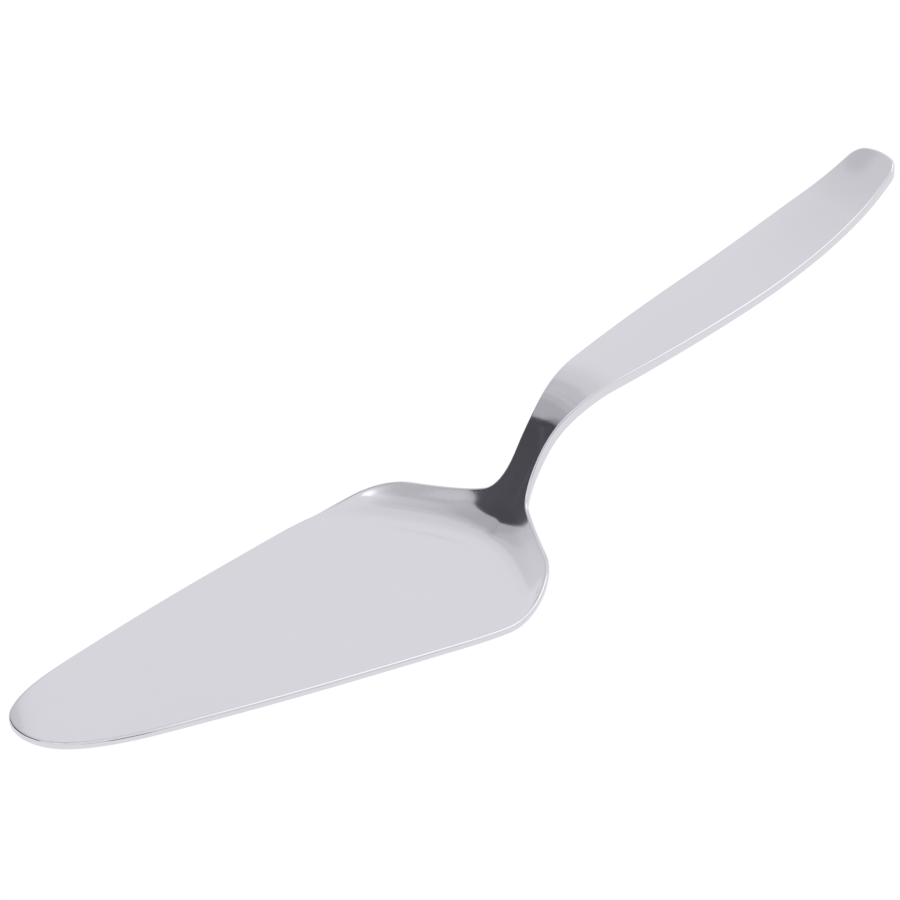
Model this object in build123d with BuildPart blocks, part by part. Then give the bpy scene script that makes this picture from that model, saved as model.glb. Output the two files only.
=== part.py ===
import os
from math import atan2, cos, exp, pi, radians, sin, sqrt, tan

from build123d import *

os.makedirs("parts", exist_ok=True)

# A cake lifter pressed and bent from one strip of steel: blade, cranked neck and handle.
# Millimetres. X runs from the tip of the blade to the end of the handle, Y across it and
# Z up. The flat underside of the blade lies on z = 0. All angles are in degrees.

# Outline of the blade, seen from above
blade_reach = 107.1        # from the tip to the widest place
blade_width = 67.7
nose_radius = 13.1
nose_angle = 53.7          # turned by the nose's arc on each side
shoulder_radius = 21.5
shoulder_angle = 61.5      # from the widest place to the straight rear edge
neck_root_radius = 6.8

# Points of the blade's side, as shares of its reach and half width
blade_side_shares = [(0.25, 0.557), (0.55, 0.767), (0.85, 0.943)]

# Outline of the neck and the handle, seen from above
neck_width = 7.5           # at its narrowest
handle_run = 103.7         # from there to the handle's rounded end
handle_width = 20.5        # at its widest
handle_end_width = 14.1    # where the rounded end begins
handle_end_angle = 9.8     # on each side
end_corner_radius = 3.9
end_corner_angle = 69.5

# Points of the handle's side, as shares of its run and half width
handle_side_shares = [(0.11, 0.587), (0.23, 0.784), (0.67, 1.0), (0.84, 0.92)]

# Bends of the strip's middle surface, in the side view along the middle
neck_foot_run = 9.6        # from the heel's bend to the narrowest place of the neck
heel_radius = 13.8
neck_length = 33.3         # between the bends of the heel and the knee
neck_angle = 58.1
knee_radius = 30.6
grip_angle = 12.2
sweep_radius = 260.0
sweep_run = 24.7           # between the last two bends
sweep_angle = 19.4
flick_radius = 70.0
flick_run = 9.9            # from the last bend to the handle's end
flick_angle = 30.7

# Thickness of the strip
blade_thickness = 1.6
neck_thickness = 2.9       # at the knee
handle_thickness = 2.6     # along the middle of the handle
handle_crown = 0.7         # fall of the handle's top face from its middle to its edge
edge_radius = 0.55         # of the rounded upper rim
edge_bevel = 0.35          # of the lower rim

# The heel is dished: its bend runs forward from the middle towards both shoulders
heel_slant_angle = 34.3    # of the bend's straight stretches to the Y axis
heel_round = 7.0           # half width of the rounded stretch that joins them
shoulder_curl = 5.0        # how much further forward the bend comes at the blank's edge
curl_run = 3.0             # inward from there, the curl falls off e-fold over this length
blank_margin = 2.0         # of the pressed blank beyond the trimmed outline
station_shares = [0.0, 0.12, 0.25, 0.4, 0.55, 0.7, 0.82, 0.91, 1.0]
upright = 0.001            # the most that the normal of an upright face may rise

blade_half_width = blade_width / 2
handle_half_width = handle_width / 2
blank_half_width = blade_half_width + blank_margin


# The outline seen from above: one side drawn from tip to handle end, then mirrored
with BuildSketch() as outline:
    with BuildLine():
        nose = JernArc((0, 0), (0, 1), nose_radius, -nose_angle)
        side_points = [(along * blade_reach, out * blade_half_width)
                       for along, out in blade_side_shares]
        blade_side = Spline(nose @ 1, *side_points, (blade_reach, blade_half_width),
                            tangents=[nose % 1, (1, 0)])
        shoulder = JernArc(blade_side @ 1, (1, 0), shoulder_radius, -shoulder_angle)
        turn = radians(shoulder_angle)
        arcs_rise = (shoulder_radius + neck_root_radius) * (1 - cos(turn))
        rear_length = (blade_half_width - neck_width / 2 - arcs_rise) / sin(turn)
        rear_edge = PolarLine(shoulder @ 1, rear_length, -shoulder_angle)
        root = JernArc(rear_edge @ 1, rear_edge % 1, neck_root_radius, shoulder_angle)
        neck = root @ 1
        side_points = [(neck.X + along * handle_run, out * handle_half_width)
                       for along, out in handle_side_shares]
        taper = radians(handle_end_angle)
        grip_side = Spline(neck, *side_points, (neck.X + handle_run, handle_end_width / 2),
                           tangents=[(1, 0), (cos(taper), -sin(taper))])
        corner = JernArc(grip_side @ 1, grip_side % 1, end_corner_radius, -end_corner_angle)
        turn_left = pi / 2 - taper - radians(end_corner_angle)
        end_x = (corner @ 1).X + (corner @ 1).Y * tan(turn_left / 2)
        TangentArc(corner @ 1, (end_x, 0), tangent=corner % 1)
        mirror(about=Plane.XZ)
    make_face()

foot_x = neck.X - neck_foot_run


# How far forward of the middle the heel's bend lies at this distance across: a hyperbola,
# straight but for its middle, and a curl that only the shoulders have
def setback(across):
    slanted = tan(radians(heel_slant_angle)) * (sqrt(across**2 + heel_round**2) - heel_round)
    return slanted + shoulder_curl * exp((abs(across) - blank_half_width) / curl_run)


# Where a straight run from this corner, at this slope, reaches the given x
def climb(start, x, slope):
    return Vector(x, start.Y + (x - start.X) * tan(radians(slope)))


# The pressed part of the blank starts here, in front of the heel's bend at the shoulders
press_x = foot_x - setback(blank_half_width) - heel_radius


# The edges in which the upright cut edge meets the faces that look up (1) or down (-1)
def rim(faces, way):
    cut_faces = faces.filter_by(lambda face: abs(face.normal_at().Z) < upright)
    broad_faces = faces.filter_by(lambda face: way * face.normal_at().Z > upright)
    return cut_faces.edges() & broad_faces.edges()


# The strip's top line (face 1) or under line (face -1) in the side view, as the corners
# and radii of its bends: the middle line's corners moved out by half the thickness
def strip_line(face, across):
    level = blade_thickness / 2
    knee = Vector(foot_x, level) + neck_length * Vector(cos(radians(neck_angle)),
                                                        sin(radians(neck_angle)))
    sweep = climb(knee, end_x - flick_run - sweep_run, grip_angle)
    flick = climb(sweep, end_x - flick_run, sweep_angle)
    end = climb(flick, end_x + blank_margin, flick_angle)
    middle = [Vector(press_x, level), Vector(foot_x - setback(across), level),
              knee, sweep, flick, end]
    halves = [blade_thickness / 2, blade_thickness / 2, neck_thickness / 2,
              handle_thickness / 2, handle_thickness / 2, handle_thickness / 2]
    slopes = [atan2(b.Y - a.Y, b.X - a.X) for a, b in zip(middle, middle[1:])]
    slopes = [slopes[0], *slopes, slopes[-1]]
    drop = handle_crown * min((across / handle_half_width) ** 2, 1) if face == 1 else 0
    corners = []
    for index, (point, half) in enumerate(zip(middle, halves)):
        lean = (slopes[index] + slopes[index + 1]) / 2
        reach = face * half / cos((slopes[index + 1] - slopes[index]) / 2)
        fall = drop if index > 1 else 0
        corners.append(point + Vector(-reach * sin(lean), reach * cos(lean) - fall))
    upward = [1, -1, 1, 1]
    middle_radii = [heel_radius, knee_radius, sweep_radius, flick_radius]
    radii = [radius - face * way * half
             for radius, way, half in zip(middle_radii, upward, halves[1:])]
    return corners, radii


with BuildPart() as lifter:
    # The pressed part of the blank: side views at stations across it, lofted together
    for share in [-share for share in station_shares[:0:-1]] + station_shares:
        across = share * blank_half_width
        top_corners, top_radii = strip_line(1, across)
        under_corners, under_radii = strip_line(-1, across)
        with BuildSketch(Plane.XZ.offset(across)):
            with BuildLine():
                FilletPolyline(*top_corners, radius=top_radii)
                FilletPolyline(*under_corners, radius=under_radii)
                Line(top_corners[0], under_corners[0])
                Line(top_corners[-1], under_corners[-1])
            make_face()
    loft()

    # The flat part of the blank
    with BuildSketch():
        with Locations((-blank_margin, 0)):
            Rectangle(press_x + blank_margin, 2 * blank_half_width,
                      align=(Align.MIN, Align.CENTER))
    extrude(amount=blade_thickness)

    # Trimmed to the outline, with the upper rim rounded and the lower rim bevelled
    extrude(outline.sketch, amount=end_x, mode=Mode.INTERSECT)
    chamfer(rim(lifter.faces(), -1), length=edge_bevel)
    fillet(rim(lifter.faces(), 1), radius=edge_radius)

# The finished piece stands with the middle of its length over the origin
lifter.part.label = "cake_lifter"
export_step(lifter.part.moved(Location((-end_x / 2, 0, 0))), "parts/cake_lifter.step")
print("volume", round(lifter.part.volume, 1), "size", lifter.part.bounding_box().size)
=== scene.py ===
from math import cos, pi, radians, sin, tan

import bmesh
import bpy
import numpy as np
from mathutils import Matrix, Vector


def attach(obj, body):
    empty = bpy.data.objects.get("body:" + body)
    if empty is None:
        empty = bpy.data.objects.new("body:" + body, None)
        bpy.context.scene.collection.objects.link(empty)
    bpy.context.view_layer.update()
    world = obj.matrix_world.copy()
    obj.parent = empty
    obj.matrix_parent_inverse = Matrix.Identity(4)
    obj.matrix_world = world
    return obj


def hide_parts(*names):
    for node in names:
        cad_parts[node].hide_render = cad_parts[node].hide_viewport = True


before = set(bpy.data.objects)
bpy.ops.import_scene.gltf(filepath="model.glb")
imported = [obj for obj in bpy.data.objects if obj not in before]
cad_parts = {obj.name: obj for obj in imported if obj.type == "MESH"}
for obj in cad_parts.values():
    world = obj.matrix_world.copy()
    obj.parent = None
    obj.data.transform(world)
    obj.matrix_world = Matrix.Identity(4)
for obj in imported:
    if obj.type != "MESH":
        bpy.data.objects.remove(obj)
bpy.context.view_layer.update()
millimetre = 0.001
print("frame loaded:", ", ".join(sorted(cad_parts)))


# The lifter's own sizes in millimetres and degrees, measured from the tip of the blade
lifter = {
    "bladeReach": 107.1,        # from the tip to the widest place
    "bladeWidth": 67.7,
    "noseRadius": 13.1,
    "noseAngle": 53.7,
    "shoulderRadius": 21.5,
    "shoulderAngle": 61.5,
    "neckRootRadius": 6.8,
    "bladeSideShares": [(0.25, 0.557), (0.55, 0.767), (0.85, 0.943)],
    "neckWidth": 7.5,
    "handleRun": 103.7,         # from the narrowest place to the rounded end
    "handleWidth": 20.5,
    "handleEndWidth": 14.1,
    "handleEndAngle": 9.8,
    "endCornerRadius": 3.9,
    "endCornerAngle": 69.5,
    "handleSideShares": [(0.11, 0.587), (0.23, 0.784), (0.67, 1.0), (0.84, 0.92)],
    "neckFootRun": 9.6,
    "heelRadius": 13.8,
    "neckLength": 33.3,
    "neckAngle": 58.1,
    "kneeRadius": 30.6,
    "gripAngle": 12.2,
    "sweepRadius": 260.0,
    "sweepRun": 24.7,
    "sweepAngle": 19.4,
    "flickRadius": 70.0,
    "flickRun": 9.9,
    "flickAngle": 30.7,
    "bladeThickness": 1.6,
    "neckThickness": 2.9,
    "handleThickness": 2.6,
    "handleCrown": 0.7,
    "edgeRadius": 0.55,
    "heelSlantAngle": 34.3,
    "heelRound": 7.0,
    "shoulderCurl": 5.0,
    "curlRun": 3.0,
    "blankMargin": 2.0,
    "stepsAcross": 44,          # from the middle line to the rim
    "stepsRound": 8,            # over each rounded rim
    "stepsAlong": 1.0,          # per millimetre of the outline's straight runs and splines
    "stepsAlongArcs": 1.5,
    "fewestSteps": 8,           # on any stretch of the outline
    "noseDrawIn": (6, 14),      # of the grid's middle line, and the run over which it fades
    "endDrawIn": (5, 10),
    "weldDistance": 0.001,
}


# Arc in the plane: the arm from the arc's centre to its start, turned by angles that grow
# evenly from nothing to the whole turn; a positive turn goes left
def arcPoints(start, heading, radius, turn):
    count = max(lifter["fewestSteps"], int(abs(turn) * radius * lifter["stepsAlongArcs"]))
    angles = np.linspace(0, turn, count)
    arm = np.sign(turn) * radius * np.array([sin(heading), -cos(heading)])
    turnedX = arm[0] * np.cos(angles) - arm[1] * np.sin(angles)
    turnedY = arm[0] * np.sin(angles) + arm[1] * np.cos(angles)
    return start - arm + np.stack([turnedX, turnedY], 1), heading + turn


# Straight run: the start plus the heading's unit vector times evenly growing distances
def linePoints(start, heading, length):
    count = max(lifter["fewestSteps"], int(length * lifter["stepsAlong"]))
    steps = np.linspace(0, length, count)
    return start + steps[:, None] * np.array([cos(heading), sin(heading)])


# Clamped cubic spline: each stretch is a Hermite cubic in its chord length, and the slopes at
# the knots solve the system that makes curvature continuous, with unit headings at both ends
def splinePoints(knots, startHeading, endHeading):
    knots = np.array(knots, float)
    chords = np.hypot(*np.diff(knots, axis=0).T)
    before, after = chords[:-1], chords[1:]
    inner = np.arange(1, len(knots) - 1)
    system = np.eye(len(knots))
    system[inner, inner - 1] = after
    system[inner, inner] = 2 * (before + after)
    system[inner, inner + 1] = before
    wanted = np.zeros_like(knots)
    wanted[0] = cos(startHeading), sin(startHeading)
    wanted[-1] = cos(endHeading), sin(endHeading)
    rises = np.diff(knots, axis=0) / chords[:, None]
    wanted[inner] = 3 * (after[:, None] * rises[:-1] + before[:, None] * rises[1:])
    slopes = np.linalg.solve(system, wanted)
    ends = np.concatenate([[0], np.cumsum(chords)])
    along = np.linspace(0, ends[-1], int(ends[-1] * lifter["stepsAlong"]))
    stretch = np.clip(np.searchsorted(ends, along, side="right") - 1, 0, len(chords) - 1)
    chord = chords[stretch][:, None]
    share = (along - ends[stretch])[:, None] / chord
    return ((2 * share**3 - 3 * share**2 + 1) * knots[stretch]
            + (share**3 - 2 * share**2 + share) * chord * slopes[stretch]
            + (3 * share**2 - 2 * share**3) * knots[stretch + 1]
            + (share**3 - share**2) * chord * slopes[stretch + 1])


# One side of the outline seen from above, from the tip to the end of the handle: nose arc,
# spline, shoulder arc, straight rear edge, neck root arc, spline, corner arc and end arc
def outlineSide():
    half = lifter["bladeWidth"] / 2
    nose, heading = arcPoints(np.zeros(2), pi / 2, lifter["noseRadius"],
                              -radians(lifter["noseAngle"]))
    shares = np.array(lifter["bladeSideShares"])
    knots = [nose[-1], *(shares * [lifter["bladeReach"], half]), [lifter["bladeReach"], half]]
    bladeSide = splinePoints(knots, heading, 0)
    turn = radians(lifter["shoulderAngle"])
    shoulder, heading = arcPoints(bladeSide[-1], 0, lifter["shoulderRadius"], -turn)
    arcsRise = (lifter["shoulderRadius"] + lifter["neckRootRadius"]) * (1 - cos(turn))
    rearLength = (half - lifter["neckWidth"] / 2 - arcsRise) / sin(turn)
    rear = linePoints(shoulder[-1], heading, rearLength)
    root, heading = arcPoints(rear[-1], heading, lifter["neckRootRadius"], turn)
    neckX = root[-1][0]
    taper = radians(lifter["handleEndAngle"])
    shares = np.array(lifter["handleSideShares"]) * [lifter["handleRun"], lifter["handleWidth"] / 2]
    lastKnot = [neckX + lifter["handleRun"], lifter["handleEndWidth"] / 2]
    grip = splinePoints([root[-1], *(shares + [neckX, 0]), lastKnot], 0, -taper)
    cornerTurn = radians(lifter["endCornerAngle"])
    corner, heading = arcPoints(grip[-1], -taper, lifter["endCornerRadius"], -cornerTurn)
    turnLeft = pi / 2 - taper - cornerTurn
    end, heading = arcPoints(corner[-1], heading, corner[-1][1] / sin(turnLeft), -turnLeft)
    pieces = [nose, bladeSide, shoulder, rear, root, grip, corner, end]
    side = np.concatenate([nose[:1], *(piece[1:] for piece in pieces)])
    return side, neckX, side[-1][0]


# How far forward of the middle the heel's bend lies at a distance across: a hyperbola, plus
# a curl at the shoulders that falls off exponentially inward from the blank's edge
def heelSetback(across):
    reach = np.hypot(across, lifter["heelRound"]) - lifter["heelRound"]
    edge = lifter["bladeWidth"] / 2 + lifter["blankMargin"]
    curl = lifter["shoulderCurl"] * np.exp((np.abs(across) - edge) / lifter["curlRun"])
    return tan(radians(lifter["heelSlantAngle"])) * reach + curl


# Height of the strip's top (face 1) or underside (face -1) at points of the plan: straight
# runs joined by arcs tangent to both. The corners are the middle line's corners moved out by
# half the thickness along the bisector, and each arc is a circle's height at its x
def stripHeight(x, y, face, neckX, endX):
    level = lifter["bladeThickness"] / 2
    footX = neckX - lifter["neckFootRun"]
    kneeX = footX + lifter["neckLength"] * cos(radians(lifter["neckAngle"]))
    kneeZ = level + lifter["neckLength"] * sin(radians(lifter["neckAngle"]))
    flickX = endX - lifter["flickRun"]
    sweepX = flickX - lifter["sweepRun"]
    sweepZ = kneeZ + (sweepX - kneeX) * tan(radians(lifter["gripAngle"]))
    flickZ = sweepZ + (flickX - sweepX) * tan(radians(lifter["sweepAngle"]))
    farZ = flickZ + lifter["flickRun"] * tan(radians(lifter["flickAngle"]))
    ones = np.ones_like(x)
    middleX = [-ones, footX - heelSetback(y), kneeX * ones, sweepX * ones,
               flickX * ones, endX * ones]
    middleZ = [level * ones, level * ones, kneeZ * ones, sweepZ * ones, flickZ * ones,
               farZ * ones]
    halves = np.array([lifter["bladeThickness"]] * 2 + [lifter["neckThickness"]]
                      + [lifter["handleThickness"]] * 3) / 2
    slopes = np.arctan2(np.diff(middleZ, axis=0), np.diff(middleX, axis=0))
    slopes = np.concatenate([slopes[:1], slopes, slopes[-1:]])
    leans = (slopes[:-1] + slopes[1:]) / 2
    reaches = face * halves.reshape(-1, *[1] * x.ndim) / np.cos(np.diff(slopes, axis=0) / 2)
    fall = np.minimum((2 * y / lifter["handleWidth"])**2, 1) * lifter["handleCrown"]
    cornersX = middleX - reaches * np.sin(leans)
    cornersZ = middleZ + reaches * np.cos(leans)
    if face == 1:
        cornersZ[2:] -= fall
    bends = [("heelRadius", 1), ("kneeRadius", -1), ("sweepRadius", 1), ("flickRadius", 1)]
    height = cornersZ[0]
    for index, (name, way) in enumerate(bends, 1):
        radius = lifter[name] - face * way * halves[index]
        slopeIn, slopeOut = np.arctan2(np.diff(cornersZ[index - 1:index + 2], axis=0),
                                       np.diff(cornersX[index - 1:index + 2], axis=0))
        tangent = radius * np.tan(np.abs(slopeOut - slopeIn) / 2)
        startX = cornersX[index] - tangent * np.cos(slopeIn)
        startZ = cornersZ[index] - tangent * np.sin(slopeIn)
        stopX = cornersX[index] + tangent * np.cos(slopeOut)
        centreX = startX - way * radius * np.sin(slopeIn)
        centreZ = startZ + way * radius * np.cos(slopeIn)
        depth = np.sqrt(np.maximum(radius**2 - (x - centreX)**2, 0))
        straight = cornersZ[index] + (x - cornersX[index]) * np.tan(slopeOut)
        bent = np.where(x < stopX, centreZ - way * depth, straight)
        height = np.where(x > startX, bent, height)
    return height


# The whole skin: along the outline on one parameter, and on the other from the top's middle
# line out to the rim, round it and back to the underside's middle line. Each rim is the arc of
# a ball that touches the upright cut edge and the broad face, which rises outward at a tilt
def lifterGrid():
    side, neckX, endX = outlineSide()
    tangents = np.gradient(side, axis=0)
    tangents /= np.linalg.norm(tangents, axis=1)[:, None]
    outward = np.stack([-tangents[:, 1], tangents[:, 0]], 1)
    outward[0] = -1, 0
    outward[-1] = 1, 0
    noseShift, noseRun = lifter["noseDrawIn"]
    endShift, endRun = lifter["endDrawIn"]
    middleX = (side[:, 0] + noseShift * np.exp(-side[:, 0] / noseRun)
               - endShift * np.exp((side[:, 0] - endX) / endRun))
    middle = np.stack([middleX, np.zeros(len(side))], 1)
    radius = lifter["edgeRadius"]
    halves = []
    for face in (1, -1):
        edge = stripHeight(*side.T, face, neckX, endX)
        inner = stripHeight(*(side - radius * outward).T, face, neckX, endX)
        slope = face * (edge - inner) / radius
        tilt = np.arctan(slope)
        ballHeight = edge - face * radius * (slope + 1 / np.cos(tilt))
        shares = np.linspace(0, 1, lifter["stepsAcross"] + 1)[:, None, None]
        inset = (radius * (1 + np.sin(tilt)))[:, None]
        broad = middle + shares * (side - inset * outward - middle)
        broadHeight = stripHeight(broad[..., 0], broad[..., 1], face, neckX, endX)
        angles = np.linspace(pi / 2 + tilt, 0, lifter["stepsRound"] + 1)[1:]
        rounded = side - radius * outward * (1 - np.cos(angles))[..., None]
        roundedHeight = ballHeight + face * radius * np.sin(angles)
        plan = np.concatenate([broad, rounded])
        height = np.concatenate([broadHeight, roundedHeight])
        halves.append(np.concatenate([plan, height[..., None]], 2)[::face])
    grid = np.concatenate(halves)
    mirrored = grid[:, -2:0:-1] * [1, -1, 1]
    grid = np.concatenate([grid, mirrored], 1) - [endX / 2, 0, 0]
    return grid * millimetre


# Puts a grid of points into a mesh of quads, closed round the outline, and welds the seam
def gridMesh(name, grid):
    rows, columns = grid.shape[:2]
    numbers = np.arange(rows * columns).reshape(rows, columns)
    across = np.roll(numbers, -1, axis=1)
    quads = np.stack([numbers[:-1], numbers[1:], across[1:], across[:-1]], 2).reshape(-1, 4)
    mesh = bpy.data.meshes.new(name)
    mesh.from_pydata(grid.reshape(-1, 3), [], quads)
    shell = bmesh.new()
    shell.from_mesh(mesh)
    bmesh.ops.remove_doubles(shell, verts=shell.verts,
                             dist=lifter["weldDistance"] * millimetre)
    bmesh.ops.recalc_face_normals(shell, faces=shell.faces)
    shell.to_mesh(mesh)
    shell.free()
    mesh.polygons.foreach_set("use_smooth", np.ones(len(mesh.polygons), bool))
    return mesh


# Wraps a node's output, so that maths on shader values is written as an expression
class Term:
    def __init__(self, shader, socket):
        self.shader = shader
        self.socket = socket

    def maths(self, operation, first, second):
        return self.shader.node("ShaderNodeMath", {"operation": operation},
                                {0: first, 1: second})

    def __add__(self, other):
        return self.maths("ADD", self, other)

    def __mul__(self, other):
        return self.maths("MULTIPLY", self, other)

    def __sub__(self, other):
        return self.maths("SUBTRACT", self, other)

    def __rsub__(self, other):
        return self.maths("SUBTRACT", other, self)

    __radd__ = __add__
    __rmul__ = __mul__


# A node tree, and the one method that adds a node: its settings are set first, and then its
# sockets get values or links
class Shader:
    def __init__(self, owner):
        owner.use_nodes = True
        self.tree = owner.node_tree
        self.tree.nodes.clear()

    def node(self, kind, settings=None, sockets=None, output=0):
        made = self.tree.nodes.new(kind)
        for name, value in (settings or {}).items():
            setattr(made, name, value)
        for name, value in (sockets or {}).items():
            if isinstance(value, Term):
                self.tree.links.new(value.socket, made.inputs[name])
            else:
                made.inputs[name].default_value = value
        return Term(self, made.outputs[output] if made.outputs else None)


# Polished steel's finish: colours of the clean and the handled metal, and its fine grain
steel = {
    "colour": (0.690, 0.683, 0.735, 1),
    "handled": (0.675, 0.668, 0.719, 1),
    "roughness": 0.10,
    "roughnessSpread": 0.05,
    "grainScale": (60, 1600, 1600),      # cells per metre: long along the strip, fine across
    "grainDetail": 3.0,
    "grainDepth": 0.000002,              # metres
    "cloudScale": 28,
    "cloudDetail": 4.0,
}


# Polished steel: two close greys and the roughness vary with soft clouds, and a fine grain
# that runs along the strip is a very shallow bump
def steelMaterial():
    material = bpy.data.materials.new("polishedSteel")
    shader = Shader(material)
    place = shader.node("ShaderNodeTexCoord", output="Object")
    clouds = shader.node("ShaderNodeTexNoise", {"noise_dimensions": "3D"},
                         {"Vector": place, "Scale": steel["cloudScale"],
                          "Detail": steel["cloudDetail"]})
    stretched = shader.node("ShaderNodeVectorMath", {"operation": "MULTIPLY"},
                            {0: place, 1: steel["grainScale"]})
    grain = shader.node("ShaderNodeTexNoise", {"noise_dimensions": "3D"},
                        {"Vector": stretched, "Scale": 1.0, "Detail": steel["grainDetail"]})
    colour = shader.node("ShaderNodeMix", {"data_type": "RGBA"},
                         {0: clouds, 6: steel["colour"], 7: steel["handled"]}, output=2)
    spread = steel["roughnessSpread"]
    roughness = steel["roughness"] + spread * (clouds + grain - 1)
    normal = shader.node("ShaderNodeBump", None,
                         {"Height": grain, "Distance": steel["grainDepth"], "Strength": 1.0})
    metal = shader.node("ShaderNodeBsdfPrincipled", None,
                        {"Base Color": colour, "Metallic": 1.0, "Roughness": roughness,
                         "Normal": normal})
    shader.node("ShaderNodeOutputMaterial", None, {"Surface": metal})
    return material


skin = bpy.data.objects.new("steelLifter", gridMesh("steelLifter", lifterGrid()))
bpy.context.scene.collection.objects.link(skin)
skin.data.materials.append(steelMaterial())
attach(skin, "root")
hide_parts("cake_lifter")
print("steel lifter:", len(skin.data.polygons), "faces")


# The studio, in millimetres and degrees. Directions are seen from the lifter: an azimuth of 0 is
# +Y and of 90 is +X. The metal mirrors all of it, and the camera sees only white
studio = {
    "floorSize": 6000,
    "floorDrop": 0.1,
    "floorColour": (0.2, 0.2, 0.2, 1),
    "floorGlow": 0.9,
    "surround": 0.97,                    # what the metal mirrors where nothing else stands
    "fillLight": 0.55,                   # what the surroundings give to matt surfaces
    "dimPatches": [                      # azimuth, elevation, full and outer radius, dimming
        (-25, 42, 16, 40, 0.14),
        (-5, 45, 2, 6.5, 0.15),
    ],
    "filmCentre": (5, 0, 6),             # the point that cards and veils are placed from
    "cards": [                           # distance, shares of the light let through, corners
        (400, (0.150, 0.148, 0.165, 1),
         [(-11, 2), (-11, 5), (-13, 12), (-15, 19), (-18, 26), (-22, 33), (-25, 37), (-28, 38),
          (-34, 40), (-38, 42), (-43, 44), (-48, 46), (-54, 47), (-61, 47), (-69, 45), (-75, 41),
          (-78, 37), (-80, 32), (-82, 26), (-78, 23), (-70, 20), (-60, 16), (-50, 12), (-40, 8),
          (-30, 4), (-20, 2)]),
        (300, (0.28, 0.28, 0.30, 1), [(-163, -1), (-163, 26), (-146, 26), (-146, -1)]),
        (310, (0.84, 0.84, 0.85, 1), [(-190, -1), (-190, 28), (-132, 28), (-132, -1)]),
    ],
    "filmShares": (0.878, 0.878, 0.881, 1),     # of the light let through a veil's film
    "filmsInVeil": 3,
    "veils": [                           # distance, outer and inner corners
        (120,
         [(-32, 12), (-32, 41), (-18, 41), (-4, 41), (8, 41), (4, 46), (1, 50), (-1, 54), (-4, 58),
          (-12, 61), (-20, 64), (-30, 66), (-40, 68), (-50, 68), (-60, 67), (-67, 64), (-73, 60),
          (-78, 54), (-86, 51), (-89, 45), (-88, 12)],
         [(-32, 12), (-32, 41), (-22, 41), (-14, 41), (-7, 41), (-9, 45), (-11, 48), (-13, 51),
          (-17, 54), (-21, 57), (-27, 59), (-34, 60), (-42, 61), (-50, 61), (-59, 60), (-66, 57),
          (-71, 54), (-77, 51), (-84, 48), (-80, 41), (-77, 12)]),
        (220,
         [(-32, -2), (-32, 41), (-18, 41), (-4, 41), (8, 41), (6, 20), (0, -2)],
         [(-32, -2), (-32, 41), (-22, 41), (-14, 41), (-7, 41), (-9, 20), (-14, -2)]),
    ],
    "softBoxes": [                       # azimuth, elevation, distance, width, length, radiance
        (-104, 57, 1000, 190, 130, 0.60),
        (110, 60, 1000, 600, 500, 0.6),
    ],
}


# White floor: it glows white to the camera and to mirrored rays, and under that glow a plain
# diffuse grey keeps the object's shadow
def floorMaterial():
    material = bpy.data.materials.new("whiteFloor")
    shader = Shader(material)
    seen = seenRays(shader) * studio["floorGlow"]
    glow = shader.node("ShaderNodeEmission", None, {"Color": (1, 1, 1, 1), "Strength": seen})
    matt = shader.node("ShaderNodeBsdfDiffuse", None, {"Color": studio["floorColour"]})
    both = shader.node("ShaderNodeAddShader", None, {0: glow, 1: matt})
    shader.node("ShaderNodeOutputMaterial", None, {"Surface": both})
    return material


# 1 for rays from the camera and for mirrored and clear ones, and 0 for the rest
def seenRays(shader):
    paths = [shader.node("ShaderNodeLightPath", output=name)
             for name in ("Is Camera Ray", "Is Glossy Ray", "Is Transmission Ray")]
    return shader.node("ShaderNodeClamp", None, {0: paths[0] + paths[1] + paths[2]})


# Unit vector towards an azimuth and an elevation in degrees
def direction(azimuth, elevation):
    across = cos(radians(elevation))
    return Vector((sin(radians(azimuth)) * across, cos(radians(azimuth)) * across,
                   sin(radians(elevation))))


# The surroundings: white to the camera. What metal mirrors falls smoothly to a light grey
# within round patches, by the cosine of the angle from each patch's centre
def surroundWorld():
    world = bpy.data.worlds.new("surround")
    shader = Shader(world)
    towards = shader.node("ShaderNodeTexCoord", output="Generated")
    mirrored = studio["surround"]
    for azimuth, elevation, inner, outer, dimming in studio["dimPatches"]:
        cosine = shader.node("ShaderNodeVectorMath", {"operation": "DOT_PRODUCT"},
                             {0: towards, 1: direction(azimuth, elevation)}, output="Value")
        patch = shader.node("ShaderNodeMapRange", {"interpolation_type": "SMOOTHSTEP"},
                            {"Value": cosine, "From Min": cos(radians(outer)),
                             "From Max": cos(radians(inner))})
        mirrored = mirrored * (1 - dimming * patch)
    cameraRay = shader.node("ShaderNodeLightPath", output="Is Camera Ray")
    seen = seenRays(shader)
    shown = cameraRay + (1 - cameraRay) * mirrored
    strength = seen * shown + (1 - seen) * studio["fillLight"]
    light = shader.node("ShaderNodeBackground", None,
                        {"Color": (1, 1, 1, 1), "Strength": strength})
    shader.node("ShaderNodeOutputWorld", None, {"Surface": light})
    return world


# One flat face on corners in millimetres, with its material
def flatPiece(name, corners, material):
    mesh = bpy.data.meshes.new(name)
    mesh.from_pydata([Vector(corner) * millimetre for corner in corners], [],
                     [range(len(corners))])
    piece = bpy.data.objects.new(name, mesh)
    bpy.context.scene.collection.objects.link(piece)
    piece.data.materials.append(material)
    return piece


# The floor: a square, a hair below the underside of the blade
def addFloor():
    half = studio["floorSize"] / 2
    drop = -studio["floorDrop"]
    corners = [(-half, -half, drop), (half, -half, drop), (half, half, drop),
               (-half, half, drop)]
    flatPiece("floor", corners, floorMaterial())


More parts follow.
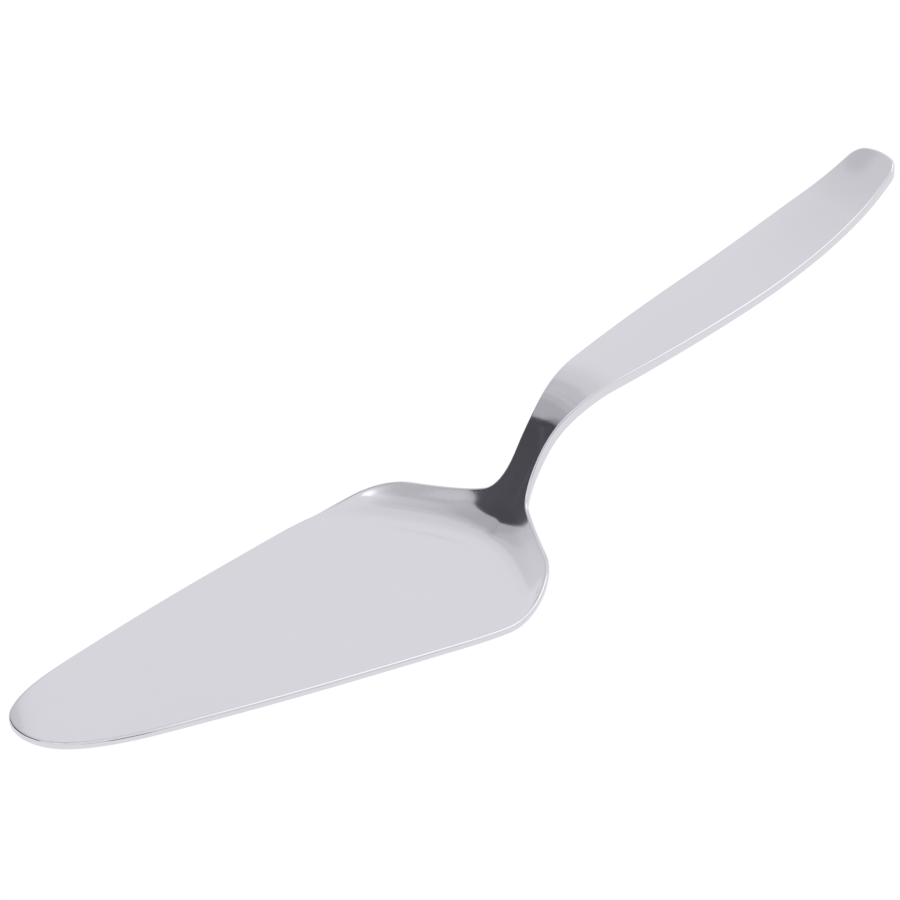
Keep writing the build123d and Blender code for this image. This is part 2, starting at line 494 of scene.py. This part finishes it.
# A film that only mirrored rays meet and are dimmed by. Its corners stand equally far away in
# plan, at their azimuths and elevations
def addFilm(distance, shares, placed):
    material = bpy.data.materials.new("film")
    shader = Shader(material)
    film = shader.node("ShaderNodeBsdfTransparent", None, {"Color": shares})
    shader.node("ShaderNodeOutputMaterial", None, {"Surface": film})
    centre = Vector(studio["filmCentre"])
    corners = [centre + direction(azimuth, elevation) * distance / cos(radians(elevation))
               for azimuth, elevation in placed]
    piece = flatPiece("film", corners, material)
    for ray in ("camera", "diffuse", "transmission", "shadow"):
        setattr(piece, "visible_" + ray, False)


# Cards, and veils that darken inwards: films from an outer to an inner outline
def addCards():
    for distance, shares, placed in studio["cards"]:
        addFilm(distance, shares, placed)
    for distance, outer, inner in studio["veils"]:
        for share in np.linspace(0, 1, studio["filmsInVeil"]):
            placed = (1 - share) * np.array(outer) + share * np.array(inner)
            addFilm(distance, studio["filmShares"], placed.tolist())


# Each soft box faces the lifter, and its power gives its face the wanted radiance
def addSoftBoxes():
    for azimuth, elevation, distance, width, length, radiance in studio["softBoxes"]:
        data = bpy.data.lights.new("softBox", "AREA")
        data.shape = "RECTANGLE"
        data.size = width * millimetre
        data.size_y = length * millimetre
        data.energy = radiance * pi * data.size * data.size_y
        box = bpy.data.objects.new("softBox", data)
        box.location = direction(azimuth, elevation) * distance * millimetre
        box.rotation_euler = (-box.location).to_track_quat("-Z", "Y").to_euler()
        bpy.context.scene.collection.objects.link(box)


addFloor()
addCards()
addSoftBoxes()
bpy.context.scene.world = surroundWorld()
bpy.context.scene.view_settings.view_transform = "Standard"
print("studio placed:", len(studio["cards"]), "cards,", len(studio["veils"]), "veils,",
      len(studio["softBoxes"]), "soft boxes")


# The camera, far off with a long lens, as the photograph's flat perspective asks
view = {
    "azimuth": -40.197,                 # of the camera: 0 is its place on -Y, and 90 on +X
    "elevation": 27.5,
    "roll": -0.787,
    "distance": 1305.1,
    "target": (117.962, 0, 27.058),     # from the tip of the blade
    "lens": 240,
    "sensor": 36,
}


# The camera looks at its target from an azimuth and an elevation, and is then rolled
def addCamera():
    data = bpy.data.cameras.new("camera")
    data.lens = view["lens"]
    data.sensor_width = view["sensor"]
    data.sensor_fit = "HORIZONTAL"
    camera = bpy.data.objects.new("camera", data)
    azimuth, elevation, roll = (radians(view[key]) for key in ("azimuth", "elevation", "roll"))
    back = Vector((sin(azimuth) * cos(elevation), -cos(azimuth) * cos(elevation),
                   sin(elevation)))
    right = Vector((cos(azimuth), sin(azimuth), 0))
    up = back.cross(right)
    turnedRight = right * cos(roll) + up * sin(roll)
    turnedUp = up * cos(roll) - right * sin(roll)
    endX = outlineSide()[2]
    target = Vector(view["target"]) - Vector((endX / 2, 0, 0))
    axes = Matrix((turnedRight, turnedUp, back)).transposed().to_4x4()
    place = (target + back * view["distance"]) * millimetre
    camera.matrix_world = Matrix.Translation(place) @ axes
    bpy.context.scene.collection.objects.link(camera)
    bpy.context.scene.camera = camera


addCamera()
print("camera placed")
